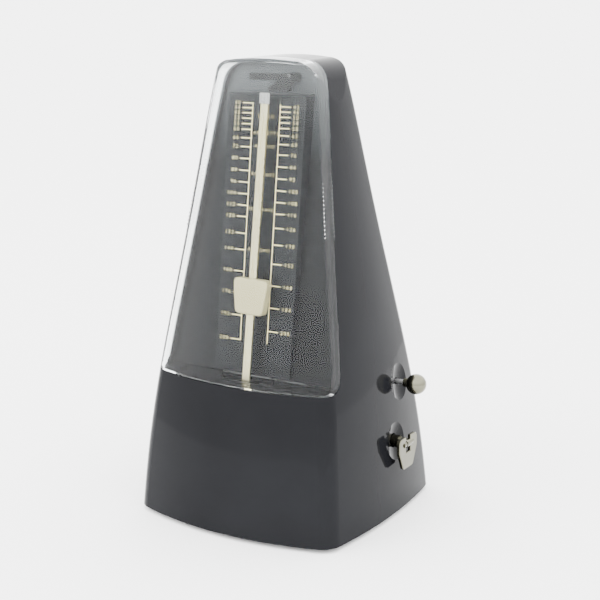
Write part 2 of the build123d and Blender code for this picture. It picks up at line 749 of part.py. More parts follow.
def ratchet_wheel():
    pts = []
    step = 2 * pi / RATCHET_TEETH
    for i in range(RATCHET_TEETH):
        a = i * step
        pts.append((RATCHET_R * cos(a), RATCHET_R * sin(a)))
        pts.append(((RATCHET_R - 1.2) * cos(a + 0.12 * step), (RATCHET_R - 1.2) * sin(a + 0.12 * step)))
    face = make_face(Polyline(*pts, close=True)) - Circle(WIND_R)
    return extrude(axis_plane(RATCHET_X, WIND_Y, WIND_Z) * face, amount=RATCHET_T)


def click_point():
    a = radians(CLICK_ANGLE)
    return Vector(0, WIND_Y + CLICK_RADIUS * cos(a), WIND_Z + CLICK_RADIUS * sin(a))


def click():
    """Pawl on the great wheel; its nose lies just outside the ratchet's teeth."""
    c = click_point()
    nose_a = radians(CLICK_ANGLE - 42)
    reach = RATCHET_R + PLAY
    nose = (reach * cos(nose_a), reach * sin(nose_a))
    tail_a = radians(CLICK_ANGLE)
    base = (CLICK_RADIUS * cos(tail_a), CLICK_RADIUS * sin(tail_a))
    dx = nose[0] - base[0]
    dy = nose[1] - base[1]
    size = hypot(dx, dy)
    ux = dx / size
    uy = dy / size
    pts = [
        (base[0] - 1.6 * uy, base[1] + 1.6 * ux),
        (base[0] + 1.6 * uy, base[1] - 1.6 * ux),
        (nose[0] + 0.1 * uy, nose[1] - 0.1 * ux),
        (nose[0] - 1.4 * uy, nose[1] + 1.4 * ux),
    ]
    arm = make_face(Polyline(*pts, close=True)) + Pos(*base) * Circle(2.1)
    arm = arm - Pos(*base) * Circle(1.0 + FIT)
    return extrude(axis_plane(GREAT_X - 0.35 - RATCHET_T, WIND_Y, WIND_Z) * arm, amount=RATCHET_T)


def mainspring():
    """Flat coil round the winding arbor, in its part-wound shape."""
    count = SPRING_TURNS * 12
    inner = []
    outer = []
    for i in range(count + 1):
        share = i / count
        r = SPRING_IN + (SPRING_OUT - SPRING_IN) * share
        a = 2 * pi * SPRING_TURNS * share
        inner.append((r * cos(a), r * sin(a)))
        outer.append(((r + SPRING_T) * cos(a), (r + SPRING_T) * sin(a)))
    lines = [
        Spline(*inner),
        Line(inner[-1], outer[-1]),
        Spline(*outer[::-1]),
        Line(outer[0], inner[0]),
    ]
    return extrude(axis_plane(SPRING_X, WIND_Y, WIND_Z) * make_face(lines), amount=SPRING_W)


def spring_anchor():
    """Stud that holds the mainspring's outer end to the left plate."""
    r = SPRING_OUT + SPRING_T + 1.3
    return disc(-FRAME_HALF, SPRING_X + SPRING_W, WIND_Y + r, WIND_Z, 1.3)


def middle_arbor():
    m = middle_centre()
    shaft = disc(-FRAME_HALF - FRAME_T, FRAME_HALF + FRAME_T, m.Y, m.Z, ARBOR_R)
    g = Vector(0, WIND_Y, WIND_Z)
    phase = line_angle(m, g) + pi / PINION_TEETH
    pinion = extrude(axis_plane(GREAT_X - 0.6, m.Y, m.Z) * gear_face(PINION_TEETH, phase, 0.5), amount=GREAT_T + 1.2)
    seat = disc(MIDDLE_X - 1.5, MIDDLE_X, m.Y, m.Z, 2.4)
    return shaft + pinion + seat


def middle_wheel():
    m = middle_centre()
    face = gear_face(MIDDLE_TEETH, line_angle(m, crown_centre()), ARBOR_R)
    face = spoked(face, MODULE * MIDDLE_TEETH / 2 - 2.2, 3.4, 4)
    return extrude(axis_plane(MIDDLE_X, m.Y, m.Z) * face, amount=MIDDLE_T)


def beat_cams():
    """Four star cams on a sleeve, one for each bell setting."""
    m = middle_centre()
    body = disc(CAM_X, CAM_X + 3 * CAM_STEP + CAM_T, m.Y, m.Z, 3.0)
    for i, lobes in enumerate(CAM_LOBES):
        face = Circle(CAM_R - 1.4)
        for k in range(lobes):
            tooth = Polyline((CAM_R - 2.2, -1.0), (CAM_R, 0.9), (CAM_R - 2.0, 1.3), close=True)
            face = face + Rot(0, 0, k * 360 / lobes) * make_face(tooth)
        body = body + extrude(axis_plane(CAM_X + i * CAM_STEP, m.Y, m.Z) * face, amount=CAM_T)
    return body - disc(CAM_X - 1, CAM_X + 9, m.Y, m.Z, ARBOR_R)


def escape_arbor():
    c = crown_centre()
    shaft = disc(CROWN_TIP_X + CROWN_DEPTH - 1.2, FRAME_HALF + FRAME_T, c.Y, c.Z, ARBOR_R)
    phase = line_angle(c, middle_centre()) + pi / ESCAPE_PINION_TEETH
    face = gear_face(ESCAPE_PINION_TEETH, phase, 0.5)
    pinion = extrude(axis_plane(MIDDLE_X - 0.9, c.Y, c.Z) * face, amount=MIDDLE_T + 1.8)
    return shaft + pinion


def crown_wheel():
    """Contrate escape wheel: a thin rim whose saw teeth point at the verge."""
    c = crown_centre()
    end = CROWN_TIP_X + CROWN_DEPTH
    rim = disc(CROWN_TIP_X, end, c.Y, c.Z, CROWN_R + CROWN_WALL / 2)
    rim = rim - disc(CROWN_TIP_X - 1, end - 1.2, c.Y, c.Z, CROWN_R - CROWN_WALL / 2)
    rim = rim - disc(end - 2, end + 1, c.Y, c.Z, ARBOR_R)
    step = 2 * pi * CROWN_R / CROWN_TEETH
    depth = 2.4
    for i in range(CROWN_TEETH):
        tooth = Polyline((CROWN_TIP_X - 0.5, 0.3), (CROWN_TIP_X - 0.5, step), (CROWN_TIP_X + depth, step), close=True)
        gap = extrude(Plane(origin=(0, 0, CROWN_R), z_dir=(0, 0, 1)) * make_face(tooth), amount=3, both=True)
        rim = rim - Pos(0, c.Y, c.Z) * Rot(i * 360 / CROWN_TEETH, 0, 0) * gap
    return rim


# ---------------------------------------------------------------- movement frame
def plate_outline():
    b = PLATE_Z + PLATE_T
    cut = 9.0
    return [
        (FRAME_FRONT, b),
        (FRAME_BACK, b),
        (FRAME_BACK, FRAME_TOP - 4),
        (FRAME_BACK - 4, FRAME_TOP),
        (FRAME_FRONT + cut, FRAME_TOP),
        (FRAME_FRONT, FRAME_TOP - cut),
    ]


def frame_plate(x0, holes):
    body = side_plate(x0, FRAME_T, plate_outline())
    for y, z, r in holes:
        body = body - disc(x0 - 1, x0 + FRAME_T + 1, y, z, r)
    for y, z in PILLARS:
        body = body - disc(x0 - 1, x0 + FRAME_T + 1, y, z, PILLAR_SCREW_R + SCREW_GAP)
    for y in LUG_YS:
        z = PLATE_Z + PLATE_T + 6.5
        body = body - disc(x0 - 1, x0 + FRAME_T + 1, y, z, LUG_SCREW_R + SCREW_GAP)
    return body


def left_plate():
    m = middle_centre()
    holes = [(WIND_Y, WIND_Z, WIND_R + FIT), (m.Y, m.Z, ARBOR_R + FIT), (PULL_Y, PULL_Z, PULL_R + FIT)]
    return frame_plate(-FRAME_HALF - FRAME_T, holes)


def right_plate():
    m = middle_centre()
    c = crown_centre()
    holes = [(WIND_Y, WIND_Z, WIND_R + FIT), (m.Y, m.Z, ARBOR_R + FIT), (PULL_Y, PULL_Z, PULL_R + FIT)]
    holes.append((c.Y, c.Z, ARBOR_R + FIT))
    return frame_plate(FRAME_HALF, holes)


def pillars():
    out = []
    for y, z in PILLARS:
        bar = disc(-FRAME_HALF, FRAME_HALF, y, z, PILLAR_R)
        bar = bar - disc(-FRAME_HALF - 1, -FRAME_HALF + 6, y, z, PILLAR_SCREW_R + SCREW_GAP)
        out.append(bar - disc(FRAME_HALF - 6, FRAME_HALF + 1, y, z, PILLAR_SCREW_R + SCREW_GAP))
    return out


def pillar_screws():
    out = []
    for y, z in PILLARS:
        for side in (-1, 1):
            spot = Plane(origin=(side * (FRAME_HALF + FRAME_T), y, z), z_dir=(side, 0, 0))
            out.append(screw(spot, PILLAR_SCREW_R, 6))
    return out


def escape_bridge():
    """Inner bearing of the escape arbor, held off the right plate by two studs."""
    c = crown_centre()
    y0 = c.Y - 6
    y1 = c.Y + 6
    body = block(BRIDGE_X, BRIDGE_X + BRIDGE_T, y0, y1, c.Z - 10, c.Z + 4)
    for y in (y0 + 2.5, y1 - 2.5):
        body = body + disc(BRIDGE_X, FRAME_HALF, y, c.Z - 7, 1.8)
    return body - disc(BRIDGE_X - 1, BRIDGE_X + BRIDGE_T + 1, c.Y, c.Z, ARBOR_R + FIT)


def lug_screw_planes():
    out = []
    for side in (-1, 1):
        for y in LUG_YS:
            x = side * (FRAME_HALF + FRAME_T + LUG_T + 3.5)
            out.append(Plane(origin=(x, y, PLATE_Z + PLATE_T + LUG_T), z_dir=(0, 0, 1)))
    return out


def frame_lugs():
    """Angle brackets between the movement plates and the base plate."""
    out = []
    b = PLATE_Z + PLATE_T
    for side in (-1, 1):
        for y in LUG_YS:
            inner = side * (FRAME_HALF + FRAME_T)
            outer = side * (FRAME_HALF + FRAME_T + LUG_SIZE)
            wall = side * (FRAME_HALF + FRAME_T + LUG_T)
            foot = block(min(inner, outer), max(inner, outer), y - 4, y + 4, b, b + LUG_T)
            up = block(min(inner, wall), max(inner, wall), y - 4, y + 4, b, b + 10)
            lug = foot + up - disc(-60, 60, y, b + 6.5, LUG_SCREW_R + SCREW_GAP)
            x = side * (FRAME_HALF + FRAME_T + LUG_T + 3.5)
            out.append(lug - post(x, y, b - 1, b + 3, LUG_SCREW_R + SCREW_GAP))
    return out


def lug_screws():
    out = [screw(spot, LUG_SCREW_R, LUG_T + PLATE_T) for spot in lug_screw_planes()]
    for side in (-1, 1):
        for y in LUG_YS:
            x = side * (FRAME_HALF + FRAME_T + LUG_T)
            spot = Plane(origin=(x, y, PLATE_Z + PLATE_T + 6.5), z_dir=(side, 0, 0))
            out.append(screw(spot, LUG_SCREW_R, LUG_T + FRAME_T + 0.6))
    return out


def cock_spots():
    """Where the verge's two bearings stand, as distances behind the pivot."""
    return (5.0, VERGE_BACK - 2.0)


def cock_screw_planes():
    out = []
    for back, away in ((cock_spots()[0], 1), (cock_spots()[1], 1)):
        p = verge_point(back)
        for x in (-3.0, 3.0):
            out.append(Plane(origin=(x, p.Y + 4.5 * away, PLATE_Z + PLATE_T + 1.5), z_dir=(0, 0, 1)))
    return out


def verge_cock(back, half):
    """Upright strip with a foot on the base plate and a bearing hole for the verge."""
    p = verge_point(back)
    b = PLATE_Z + PLATE_T
    strip = block(-half, half, p.Y - 0.75, p.Y + 0.75, b, p.Z + 2.6)
    foot = block(-6, 6, p.Y - 0.75, p.Y + 7.5, b, b + 1.5)
    body = strip + foot
    for x in (-3.0, 3.0):
        body = body - post(x, p.Y + 4.5, b - 1, b + 3, LUG_SCREW_R + SCREW_GAP)
    bore = rod_plane().offset(-back + 3)
    return body - extrude(bore * Circle(VERGE_R + FIT), amount=-6)


def front_cock():
    return verge_cock(cock_spots()[0], 5.0)


def rear_cock():
    return verge_cock(cock_spots()[1], 2.4)


def cock_screws():
    return [screw(spot, LUG_SCREW_R, 1.5 + PLATE_T) for spot in cock_screw_planes()]


# ---------------------------------------------------------------- bell and bell pull
def bell_bridge():
    body = block(-FRAME_HALF - FRAME_T, FRAME_HALF + FRAME_T, BELL_Y - 4, BELL_Y + 4, FRAME_TOP, FRAME_TOP + 2)
    return body - post(0, BELL_Y, FRAME_TOP - 1, FRAME_TOP + 3, 1.5)


def bell_post():
    top = BELL_RIM_Z + BELL_H
    body = post(0, BELL_Y, FRAME_TOP - 1.5, top + 4, 1.5)
    body = body + post(0, BELL_Y, FRAME_TOP + 2, top - BELL_T, 2.6)
    return body


def bell():
    top = BELL_RIM_Z + BELL_H
    outer = post(0, BELL_Y, BELL_RIM_Z, top, BELL_R)
    outer = fillet(outer.edges().group_by(Axis.Z)[-1], 7.0)
    inner = post(0, BELL_Y, BELL_RIM_Z - 1, top - BELL_T, BELL_R - BELL_T)
    inner = fillet(inner.edges().group_by(Axis.Z)[-1], 7.0 - BELL_T)
    return outer - inner - post(0, BELL_Y, BELL_RIM_Z, top + 2, 1.5)


def bell_nut():
    top = BELL_RIM_Z + BELL_H
    nut = Pos(0, BELL_Y, top) * extrude(RegularPolygon(3.2, 6), amount=2.4)
    return nut - post(0, BELL_Y, top - 1, top + 5, 1.5)


def knob_x():
    return side_x(PULL_Y, PULL_Z) + KNOB_OUT


def pull_rod():
    return disc(-FRAME_HALF - FRAME_T - 1.5 - PULL_TRAVEL, knob_x() - 2.0, PULL_Y, PULL_Z, PULL_R)


def pull_knob():
    """Ball on the end of the bell pull, with a short neck."""
    x = knob_x()
    ball = Pos(x, PULL_Y, PULL_Z) * Sphere(KNOB_R)
    neck = disc(x - KNOB_R - 1.4, x, PULL_Y, PULL_Z, 2.2)
    return ball + neck - disc(x - KNOB_R - 3, x - 2.0, PULL_Y, PULL_Z, PULL_R)


def pull_detent():
    """Leaf on the right plate that rides over the bell pull."""
    x = FRAME_HALF + FRAME_T
    top = PULL_Z + PULL_R + PLAY
    foot = block(x, x + 1.0, PULL_Y - 2, PULL_Y + 2, top, top + 5)
    return foot + block(x, x + 7, PULL_Y - 2, PULL_Y + 2, top, top + 0.5)


def hammer_collars():
    """Rings that fix the hammer's place along the bell pull."""
    out = []
    for x in (HAMMER_X - PLAY - 1.5, HAMMER_X + 3.4 + PLAY):
        out.append(disc(x, x + 1.5, PULL_Y, PULL_Z, 2.4) - disc(x - 1, x + 3, PULL_Y, PULL_Z, PULL_R))
    return out


def hammer():
    """Sleeve on the bell pull with an arm up to the bell and a finger down to the cams."""
    sleeve = disc(HAMMER_X, HAMMER_X + 3.4, PULL_Y, PULL_Z, HAMMER_R)
    ball_y = BELL_Y + BELL_R + HAMMER_BALL_R + 0.8
    ball_z = BELL_RIM_Z + 4.0
    ball = Pos(HAMMER_X + HAMMER_W / 2, ball_y, ball_z) * Sphere(HAMMER_BALL_R)
    dy = ball_y - PULL_Y
    dz = ball_z - PULL_Z
    size = hypot(dy, dz)
    uy = dy / size
    uz = dz / size
    arm = side_plate(HAMMER_X, HAMMER_W, [
        (PULL_Y - 0.8 * uz, PULL_Z + 0.8 * uy),
        (PULL_Y + 0.8 * uz, PULL_Z - 0.8 * uy),
        (ball_y + 0.8 * uz, ball_z - 0.8 * uy),
        (ball_y - 0.8 * uz, ball_z + 0.8 * uy),
    ])
    m = middle_centre()
    fy = m.Y - PULL_Y
    fz = m.Z - PULL_Z
    far = hypot(fy, fz)
    vy = fy / far
    vz = fz / far
    reach = far - CAM_R - FINGER_GAP
    finger = side_plate(HAMMER_X, HAMMER_W, [
        (PULL_Y - 0.9 * vz, PULL_Z + 0.9 * vy),
        (PULL_Y + 0.9 * vz, PULL_Z - 0.9 * vy),
        (PULL_Y + reach * vy + 0.5 * vz, PULL_Z + reach * vz - 0.5 * vy),
        (PULL_Y + reach * vy - 0.5 * vz, PULL_Z + reach * vz + 0.5 * vy),
    ])
    body = sleeve + arm + finger + ball
    return body - disc(HAMMER_X - 1, HAMMER_X + 5, PULL_Y, PULL_Z, PULL_R + FIT)


# ---------------------------------------------------------------- winding key
def key_x():
    return side_x(WIND_Y, WIND_Z) + KEY_OUT


def key_stem():
    """Shaft through the case, sleeved over the winding arbor, with a flat tongue for the wing."""
    x_in = side_x(WIND_Y, WIND_Z) - STEM_IN
    x_wing = key_x()
    x_end = x_wing - hypot(WING_UP, WING_T / 2) - PLAY
    shaft = disc(x_in, x_end, WIND_Y, WIND_Z, WIND_R + STEM_WALL)
    shaft = shaft - disc(x_in - 1, x_in + 10, WIND_Y, WIND_Z, WIND_R)
    tongue = block(x_end - 1, x_wing + 1.7, WIND_Y - HEAD_HALF, WIND_Y + HEAD_HALF, WIND_Z - 1.8, WIND_Z + 1.8)
    tongue = fillet(tongue.edges().filter_by(Axis.Y).sort_by(Axis.X)[-2:], 1.6)
    pin = Plane(origin=(x_wing, WIND_Y, WIND_Z), z_dir=(0, 1, 0))
    return shaft + tongue - extrude(pin * Circle(PIN_R), amount=9, both=True)


def key_wing():
    """Flat wing that hangs from a cross pin and folds out for winding."""
    pts = [
        (-WING_TOP_HALF, WING_UP),
        (WING_TOP_HALF, WING_UP),
        (WING_TOP_HALF, -3.0),
        (WING_LOW_HALF, -WING_DOWN),
        (-WING_LOW_HALF, -WING_DOWN),
        (-WING_TOP_HALF, -3.0),
    ]
    face = make_face(Polyline(*pts, close=True))
    face = fillet(face.vertices(), 2.4)
    window = Pos(0, (WINDOW_UP - WINDOW_DOWN) / 2) * Rectangle(2 * WINDOW_HALF, WINDOW_UP + WINDOW_DOWN)
    face = face - window
    x0 = key_x() - WING_T / 2
    body = extrude(axis_plane(x0, WIND_Y, WIND_Z) * face, amount=WING_T)
    rims = body.edges().group_by(Axis.X)
    body = chamfer(rims[-1], 0.3)
    pin = Plane(origin=(key_x(), WIND_Y, WIND_Z), z_dir=(0, 1, 0))
    bore = extrude(pin * Circle(PIN_R + FIT), amount=WINDOW_HALF + 2.6, both=True)
    barrel = extrude(pin * Circle(KNUCKLE_R), amount=WINDOW_HALF + 2.2, both=True)
    barrel = barrel - extrude(pin * Circle(3), amount=WINDOW_HALF, both=True)
    return body + barrel - bore


def key_pin():
    pin = Plane(origin=(key_x(), WIND_Y, WIND_Z), z_dir=(0, 1, 0))
    return extrude(pin * Circle(PIN_R), amount=WINDOW_HALF + 2.0, both=True)


PARTS = {
    "case_shell": case_shell,
    "front_cover": front_cover,
    "base_plate": base_plate,
    "rubber_feet": rubber_feet,
    "base_screws": base_screws,
    "scale_plate": scale_plate,
    "scale_screws": scale_screws,
    "rod_catch": rod_catch,
    "catch_screw": catch_screw,
    "pendulum_rod": pendulum_rod,
    "rod_hub": rod_hub,
    "rod_tip": rod_tip,
    "lower_bob": lower_bob,
    "bob_rivets": bob_rivets,
    "verge_arbor": verge_arbor,
    "pallets": pallets,
    "sliding_weight": sliding_weight,
    "weight_spring": weight_spring,
    "left_plate": left_plate,
    "right_plate": right_plate,
    "pillars": pillars,
    "pillar_screws": pillar_screws,
    "escape_bridge": escape_bridge,
    "frame_lugs": frame_lugs,
    "lug_screws": lug_screws,
    "front_cock": front_cock,
    "rear_cock": rear_cock,
    "cock_screws": cock_screws,
    "great_wheel": great_wheel,
    "winding_arbor": winding_arbor,
    "ratchet_wheel": ratchet_wheel,
    "click": click,
    "mainspring": mainspring,
    "spring_anchor": spring_anchor,
    "middle_arbor": middle_arbor,
    "middle_wheel": middle_wheel,
    "beat_cams": beat_cams,
    "escape_arbor": escape_arbor,
    "crown_wheel": crown_wheel,
    "bell_bridge": bell_bridge,
    "bell_post": bell_post,
    "bell": bell,
    "bell_nut": bell_nut,
    "pull_rod": pull_rod,
    "pull_knob": pull_knob,
    "pull_detent": pull_detent,
    "hammer_collars": hammer_collars,
    "hammer": hammer,
    "key_stem": key_stem,
    "key_wing": key_wing,
    "key_pin": key_pin,
}


def to_middle(pieces):
    """Move that puts the origin in the middle of the whole outline in plan."""
    boxes = [piece.bounding_box() for piece in pieces]
    x = min(b.min.X for b in boxes) + max(b.max.X for b in boxes)
    y = min(b.min.Y for b in boxes) + max(b.max.Y for b in boxes)
    return Pos(-x / 2, -y / 2, 0)


def main():
    os.makedirs("parts", exist_ok=True)
    nodes = {}
    for node, make in PARTS.items():
        shape = make()
        nodes[node] = shape if isinstance(shape, list) else [shape]
    place = to_middle([piece for pieces in nodes.values() for piece in pieces])
    for node, pieces in nodes.items():
        moved = [place * piece for piece in pieces]
        shape = moved[0] if len(moved) == 1 else Compound(children=moved)
        export_step(shape, "parts/" + node + ".step")


main()
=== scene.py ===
import json
import math

import bmesh
import bpy
from mathutils import Matrix, Vector


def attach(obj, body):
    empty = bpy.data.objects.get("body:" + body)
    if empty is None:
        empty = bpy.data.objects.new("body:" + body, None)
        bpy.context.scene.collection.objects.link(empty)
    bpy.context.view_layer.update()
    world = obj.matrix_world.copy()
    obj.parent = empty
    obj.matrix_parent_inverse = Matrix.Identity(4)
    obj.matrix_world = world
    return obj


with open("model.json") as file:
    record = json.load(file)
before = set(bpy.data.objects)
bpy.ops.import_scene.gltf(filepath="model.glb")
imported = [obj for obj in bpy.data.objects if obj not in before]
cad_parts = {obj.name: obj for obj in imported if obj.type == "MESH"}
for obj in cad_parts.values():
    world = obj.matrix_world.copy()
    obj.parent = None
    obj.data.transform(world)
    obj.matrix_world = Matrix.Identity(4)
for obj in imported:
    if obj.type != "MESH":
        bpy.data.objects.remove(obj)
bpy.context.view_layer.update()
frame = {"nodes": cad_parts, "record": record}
NODES = frame["nodes"]
MM = 0.001
PLACE = Vector((-3.518, 2.942, 0.0)) * MM  # centre of the base, about which the sizes below are drawn

# ------------------------------------------------------------------ case geometry, in millimetres
HEIGHT, BASE_HALF_Y, TOP_HALF_Y = 220.0, 50.2, 13.9
FLARE_Z, FLARE_Y = 84.0, 0.0005
LEDGE_Z, SEAM_DEPTH, RECESS_DEPTH = 71.0, 9.5, 3.0
SCALE_TOP, SCALE_PROUD, SCALE_THIN = 203.0, 4.5, 1.6
SLOPE_Y = (BASE_HALF_Y - TOP_HALF_Y + FLARE_Y * FLARE_Z**2) / HEIGHT


def seam_y(z):
    """Straight seam between the case and the cover, which the scale plate follows."""
    return -(TOP_HALF_Y + (HEIGHT - z) * SLOPE_Y) + SEAM_DEPTH


LEAN_TOP = seam_y(SCALE_TOP) - SCALE_PROUD
LEAN_LOW = seam_y(LEDGE_Z) + RECESS_DEPTH - SCALE_THIN
LEAN = math.atan((LEAN_TOP - LEAN_LOW) / (SCALE_TOP - LEDGE_Z))


def scale_y(z):
    """Front face of the scale plate, which leans back."""
    return LEAN_TOP - (SCALE_TOP - z) * math.tan(LEAN)


# ------------------------------------------------------------------ materials
def new_material(name):
    m = bpy.data.materials.new(name)
    m.use_nodes = True
    return m, m.node_tree, m.node_tree.nodes["Principled BSDF"]


def noise(tree, scale, detail=4.0, rough=0.5):
    coord = tree.nodes.new("ShaderNodeTexCoord")
    n = tree.nodes.new("ShaderNodeTexNoise")
    n.inputs["Scale"].default_value = scale
    n.inputs["Detail"].default_value = detail
    n.inputs["Roughness"].default_value = rough
    tree.links.new(coord.outputs["Object"], n.inputs["Vector"])
    return n


def remap(tree, out, lo, hi, a=0.3, b=0.7):
    r = tree.nodes.new("ShaderNodeMapRange")
    r.inputs["From Min"].default_value = a
    r.inputs["From Max"].default_value = b
    r.inputs["To Min"].default_value = lo
    r.inputs["To Max"].default_value = hi
    tree.links.new(out, r.inputs["Value"])
    return r.outputs["Result"]


def tint(tree, out, dark, light):
    ramp = tree.nodes.new("ShaderNodeValToRGB")
    ramp.color_ramp.elements[0].position = 0.3
    ramp.color_ramp.elements[0].color = (*dark, 1)
    ramp.color_ramp.elements[1].position = 0.7
    ramp.color_ramp.elements[1].color = (*light, 1)
    tree.links.new(out, ramp.inputs["Fac"])
    return ramp.outputs["Color"]


def bump(tree, out, strength, distance):
    b = tree.nodes.new("ShaderNodeBump")
    b.inputs["Strength"].default_value = strength
    b.inputs["Distance"].default_value = distance
    tree.links.new(out, b.inputs["Height"])
    return b.outputs["Normal"]


def plastic(name, dark, light, rough, grain=260.0, bump_d=0.00002, ior=1.5):
    m, t, p = new_material(name)
    n = noise(t, 14.0)
    fine = noise(t, grain, 6.0, 0.6)
    t.links.new(tint(t, n.outputs["Fac"], dark, light), p.inputs["Base Color"])
    t.links.new(remap(t, n.outputs["Fac"], rough * 0.8, rough * 1.25), p.inputs["Roughness"])
    t.links.new(bump(t, fine.outputs["Fac"], 0.08, bump_d), p.inputs["Normal"])
    p.inputs["IOR"].default_value = ior
    return m


def metal(name, dark, light, rough, grain=60.0, stretch=(1, 1, 1), bump_d=0.00003):
    m, t, p = new_material(name)
    coord = t.nodes.new("ShaderNodeTexCoord")
    mapping = t.nodes.new("ShaderNodeMapping")
    mapping.inputs["Scale"].default_value = stretch
    n = t.nodes.new("ShaderNodeTexNoise")
    n.inputs["Scale"].default_value = grain
    n.inputs["Detail"].default_value = 5.0
    t.links.new(coord.outputs["Object"], mapping.inputs["Vector"])
    t.links.new(mapping.outputs["Vector"], n.inputs["Vector"])
    t.links.new(tint(t, n.outputs["Fac"], dark, light), p.inputs["Base Color"])
    t.links.new(remap(t, n.outputs["Fac"], rough * 0.7, rough * 1.4), p.inputs["Roughness"])
    t.links.new(bump(t, n.outputs["Fac"], 0.1, bump_d), p.inputs["Normal"])
    p.inputs["Metallic"].default_value = 1.0
    return m


HAZE_FROM, HAZE_TO = 0.188, 0.212  # heights between which the cover's haze grows
PAINTED_LIGHT_FROM, PAINTED_LIGHT_TO = 0.17, 0.21  # heights between which the painted light on the recess wall fades in


def clear(name, low_haze, high_haze):
    """Clear styrene whose moulding haze grows towards its top."""
    m, t, p = new_material(name)
    n = noise(t, 30.0, 3.0)
    p.inputs["Base Color"].default_value = (0.93, 0.95, 0.95, 1)
    t.links.new(remap(t, n.outputs["Fac"], 0.0, 0.0006), p.inputs["Roughness"])
    t.links.new(bump(t, n.outputs["Fac"], 0.004, 0.00003), p.inputs["Normal"])
    coord = t.nodes.new("ShaderNodeTexCoord")
    split = t.nodes.new("ShaderNodeSeparateXYZ")
    t.links.new(coord.outputs["Object"], split.inputs["Vector"])
    level = remap(t, split.outputs["Z"], 1.0 - low_haze, 1.0 - high_haze, HAZE_FROM, HAZE_TO)
    t.links.new(level, p.inputs["Transmission Weight"])
    p.inputs["IOR"].default_value = 1.2
    return m


def recess_grey(m):
    """Paints light onto the recess wall behind the catch, the case's only front-facing wall up there:
    a lighter grey standing in for the light that the clear cover lets in from above.
    """
    t, p = m.node_tree, m.node_tree.nodes["Principled BSDF"]
    coord, geometry = t.nodes.new("ShaderNodeTexCoord"), t.nodes.new("ShaderNodeNewGeometry")
    place, turn = t.nodes.new("ShaderNodeSeparateXYZ"), t.nodes.new("ShaderNodeSeparateXYZ")
    t.links.new(coord.outputs["Object"], place.inputs["Vector"])
    t.links.new(geometry.outputs["Normal"], turn.inputs["Vector"])
    painted_light_mask = t.nodes.new("ShaderNodeMath")
    painted_light_mask.operation = "MULTIPLY"
    t.links.new(remap(t, place.outputs["Z"], 0.0, 1.0, PAINTED_LIGHT_FROM, PAINTED_LIGHT_TO), painted_light_mask.inputs[0])
    t.links.new(remap(t, turn.outputs["Y"], 1.0, 0.0, -0.85, -0.75), painted_light_mask.inputs[1])
    mix = t.nodes.new("ShaderNodeMix")
    mix.data_type = "RGBA"
    old = p.inputs["Base Color"].links[0].from_socket
    t.links.new(painted_light_mask.outputs["Value"], mix.inputs["Factor"])
    t.links.new(old, mix.inputs[6])
    # painted light: the lighter grey laid on the front-facing recess wall high in the case
    mix.inputs[7].default_value = (0.075, 0.082, 0.085, 1)
    t.links.new(mix.outputs[2], p.inputs["Base Color"])
    return m


def add_glow(m, colour, strength):
    """Gives the gold print a painted glow with emission, though the print is no lamp, so that it is
    not lost behind the clear cover.
    """
    shader = m.node_tree.nodes["Principled BSDF"]
    shader.inputs["Emission Color"].default_value = colour
    shader.inputs["Emission Strength"].default_value = strength


# painted glow of the gold print: emission colour and strength
INK_PAINTED_GLOW, INK_PAINTED_GLOW_STRENGTH = (1.0, 0.86, 0.42, 1), 0.55
M = {
    "case": plastic("gloss_black", (0.0045, 0.0046, 0.0055), (0.0075, 0.0078, 0.009), 0.06, ior=1.135),
    "cover": clear("clear_styrene", 0.0, 0.012),
    "base": plastic("matt_black", (0.012, 0.012, 0.013), (0.02, 0.02, 0.021), 0.5, bump_d=0.0001),
    "feet": plastic("foot_rubber", (0.008, 0.008, 0.008), (0.016, 0.016, 0.016), 0.75, bump_d=0.0001),
    "scale": plastic("scale_black", (0.005, 0.0055, 0.007), (0.008, 0.009, 0.011), 0.35, ior=1.2),
    "catch": plastic("catch_plastic", (0.002, 0.0022, 0.003), (0.004, 0.0042, 0.005), 0.15, ior=1.25),
    "ink": plastic("gold_ink", (0.84, 0.72, 0.30), (0.93, 0.82, 0.42), 0.45),
    "weight": plastic("cream_plastic", (0.40, 0.355, 0.18), (0.48, 0.43, 0.23), 0.35),
    "steel": metal("zinc_steel", (0.42, 0.42, 0.43), (0.62, 0.62, 0.62), 0.28),
    "rod": metal("rod_steel", (0.44, 0.40, 0.23), (0.56, 0.51, 0.32), 0.3, 40.0, (20, 20, 1)),
    "tip": metal("tip_chrome", (0.26, 0.26, 0.25), (0.36, 0.36, 0.35), 0.1),
    "lead": metal("cast_lead", (0.16, 0.16, 0.17), (0.26, 0.26, 0.27), 0.5, 90.0, bump_d=0.0002),
    "brass": metal("brass", (0.55, 0.40, 0.16), (0.72, 0.55, 0.26), 0.25),
    "springsteel": metal("blue_steel", (0.06, 0.08, 0.16), (0.12, 0.14, 0.24), 0.25),
    "nickel": metal("nickel", (0.085, 0.082, 0.058), (0.14, 0.136, 0.10), 0.14),
    "bellmetal": metal("bell_nickel", (0.55, 0.55, 0.54), (0.66, 0.66, 0.65), 0.15),
}
# paints light onto the case's recess wall behind the catch
recess_grey(M["case"])
# the gold print gets a painted glow
add_glow(M["ink"], INK_PAINTED_GLOW, INK_PAINTED_GLOW_STRENGTH)
SLOTS = {s["node"]: s["material_slot"] for s in frame["record"]["subparts"]}
for node, obj in NODES.items():
    obj.data.materials.clear()
    obj.data.materials.append(M[SLOTS[node]])

